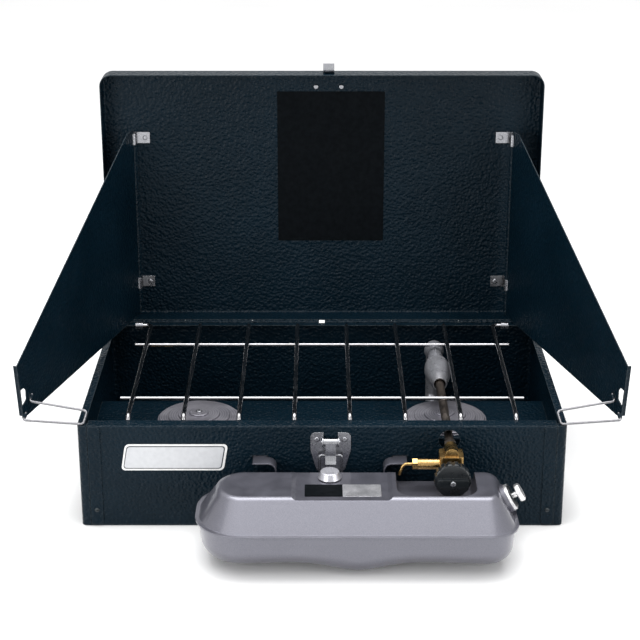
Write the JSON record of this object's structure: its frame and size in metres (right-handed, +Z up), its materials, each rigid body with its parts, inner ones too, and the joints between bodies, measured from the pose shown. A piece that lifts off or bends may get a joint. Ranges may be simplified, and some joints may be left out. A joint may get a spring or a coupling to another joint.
{
  "type": "two-burner camping stove",
  "caption": "Suitcase camping stove with a hinged lid, folding wind baffles, wire grate, ring burners and a hanging liquid-fuel tank with pump, valve and generator.",
  "frame": {"origin": "centre of the case's underside", "axes": "+X to the right seen from the tank side, +Y to the back where the lid hinges, +Z up"},
  "size_m": [0.5712, 0.4064, 0.3875],
  "materials": {
    "green_paint": "hammered gloss enamel",
    "dark_screw": "painted",
    "burner_steel": "dull",
    "zinc_steel": "zinc plated",
    "stay_wire": "zinc plated wire",
    "manifold_steel": "pressed steel",
    "grate_chrome": "plated",
    "tank_silver": "satin metallic",
    "pump_bright": "bright",
    "brass": "satin",
    "generator_steel": "heat tinted",
    "black_plastic": "moulded",
    "cap_metal": "satin metallic",
    "gasket_rubber": "moulded"
  },
  "bodies": {
    "case": {"case_shell": "green_paint", "front_panel": "green_paint", "corner_strips": "green_paint", "strip_screws": "dark_screw", "burner_support": "green_paint", "burner_bowls": "burner_steel", "burner_rings": "burner_steel", "burner_caps": "burner_steel", "burner_screws": "zinc_steel", "manifold": "manifold_steel", "crossover_tube": "manifold_steel", "aux_valve_body": "brass", "aux_feed_tube": "manifold_steel", "grate_clips": "zinc_steel", "latch_plate": "zinc_steel", "latch_rivets": "zinc_steel", "latch_pin": "zinc_steel", "hinge_case_leaves": "zinc_steel", "hinge_pins": "zinc_steel"},
    "aux_valve": {"aux_valve_stem": "brass"},
    "grate": {"grate_bars": "grate_chrome", "grate_rods": "grate_chrome"},
    "latch_lever": {"latch_lever": "zinc_steel"},
    "latch_loop": {"latch_loop": "zinc_steel"},
    "lid": {"lid_shell": "green_paint", "lid_hasp": "zinc_steel", "hasp_rivets": "zinc_steel", "hinge_lid_leaves": "zinc_steel", "baffle_clips": "zinc_steel", "clip_rivets": "zinc_steel"},
    "left_baffle": {"left_baffle": "green_paint", "left_hinge_rod": "zinc_steel"},
    "right_baffle": {"right_baffle": "green_paint", "right_hinge_rod": "zinc_steel"},
    "left_stay": {"left_stay": "stay_wire"},
    "right_stay": {"right_stay": "stay_wire"},
    "tank": {"tank_upper_shell": "tank_silver", "tank_lower_shell": "tank_silver", "tank_straps": "tank_silver", "valve_bung": "brass", "fuel_pickup": "brass", "valve_body": "brass", "packing_nut": "brass", "generator_nut": "generator_steel", "generator_tube": "generator_steel", "pump_barrel": "tank_silver", "pump_collar": "tank_silver", "pump_cap": "pump_bright", "pump_clip": "black_plastic", "filler_neck": "tank_silver"},
    "knob": {"valve_stem": "brass", "control_knob": "black_plastic", "knob_screw": "zinc_steel"},
    "lighting_lever": {"lighting_lever": "brass"},
    "plunger": {"plunger_rod": "pump_bright", "pump_cup": "gasket_rubber", "pump_knob": "pump_bright"},
    "filler_cap": {"filler_cap": "cap_metal", "cap_gasket": "gasket_rubber"}
  },
  "joints": [
    {"name": "lid_lean", "type": "hinge", "parent": "case", "child": "lid", "pos_m": [0, 0.1372, 0.10415], "axis": [-1, 0, 0], "range_deg": [0, 12]},
    {"name": "left_baffle_fold", "type": "hinge", "parent": "lid", "child": "left_baffle", "pos_m": [-0.198, 0.1538, 0.2], "axis": [0, 0, 1], "range_deg": [0, 106]},
    {"name": "right_baffle_fold", "type": "hinge", "parent": "lid", "child": "right_baffle", "pos_m": [0.19989, 0.1473, 0.2], "axis": [0, 0, -1], "range_deg": [0, 106]},
    {"name": "left_stay_fold", "type": "hinge", "parent": "left_baffle", "child": "left_stay", "pos_m": [-0.27964, -0.13384, 0.1096], "axis": [-0.2132, -0.7338, -0.6451], "range_deg": [0, 102]},
    {"name": "right_stay_fold", "type": "hinge", "parent": "right_baffle", "child": "right_stay", "pos_m": [0.27964, -0.13384, 0.1096], "axis": [-0.2132, 0.7338, 0.6451], "range_deg": [0, 102]},
    {"name": "grate_lift", "type": "hinge", "parent": "case", "child": "grate", "pos_m": [0, 0.125, 0.105], "axis": [-1, 0, 0], "range_deg": [0, 60]},
    {"name": "latch_lever_turn", "type": "hinge", "parent": "case", "child": "latch_lever", "pos_m": [0.008, -0.1404, 0.09], "axis": [-1, 0, 0], "range_deg": [0, 110]},
    {"name": "latch_loop_swing", "type": "hinge", "parent": "latch_lever", "child": "latch_loop", "pos_m": [0.008, -0.1412, 0.077], "axis": [-1, 0, 0], "range_deg": [-110, 0]},
    {"name": "tank_slide", "type": "slide", "parent": "case", "child": "tank", "axis": [0, -1, 0], "range_m": [0, 0.2]},
    {"name": "control_knob_turn", "type": "hinge", "parent": "tank", "child": "knob", "pos_m": [0.1195, -0.185, 0.0715], "axis": [0, -1, 0], "range_deg": [0, 360]},
    {"name": "lighting_lever_turn", "type": "hinge", "parent": "tank", "child": "lighting_lever", "pos_m": [0.0895, -0.16, 0.077], "axis": [-1, 0, 0], "range_deg": [0, 150]},
    {"name": "pump_stroke", "type": "slide", "parent": "tank", "child": "plunger", "axis": [0.866, 0, 0.5], "range_m": [0, 0.04]},
    {"name": "filler_cap_turn", "type": "hinge", "parent": "tank", "child": "filler_cap", "pos_m": [0.007, -0.171, 0.072], "axis": [0, 0, 1], "range_deg": [0, 360]},
    {"name": "aux_valve_turn", "type": "hinge", "parent": "case", "child": "aux_valve", "pos_m": [-0.2, 0.048, 0.02], "axis": [-1, 0, 0], "range_deg": [0, 90]}
  ],
  "couplings": [
    {"joint": "left_stay_fold", "follows": "left_baffle_fold", "ratio": 0.9622},
    {"joint": "right_stay_fold", "follows": "right_baffle_fold", "ratio": 0.9622},
    {"joint": "latch_loop_swing", "follows": "latch_lever_turn", "ratio": -1}
  ]
}
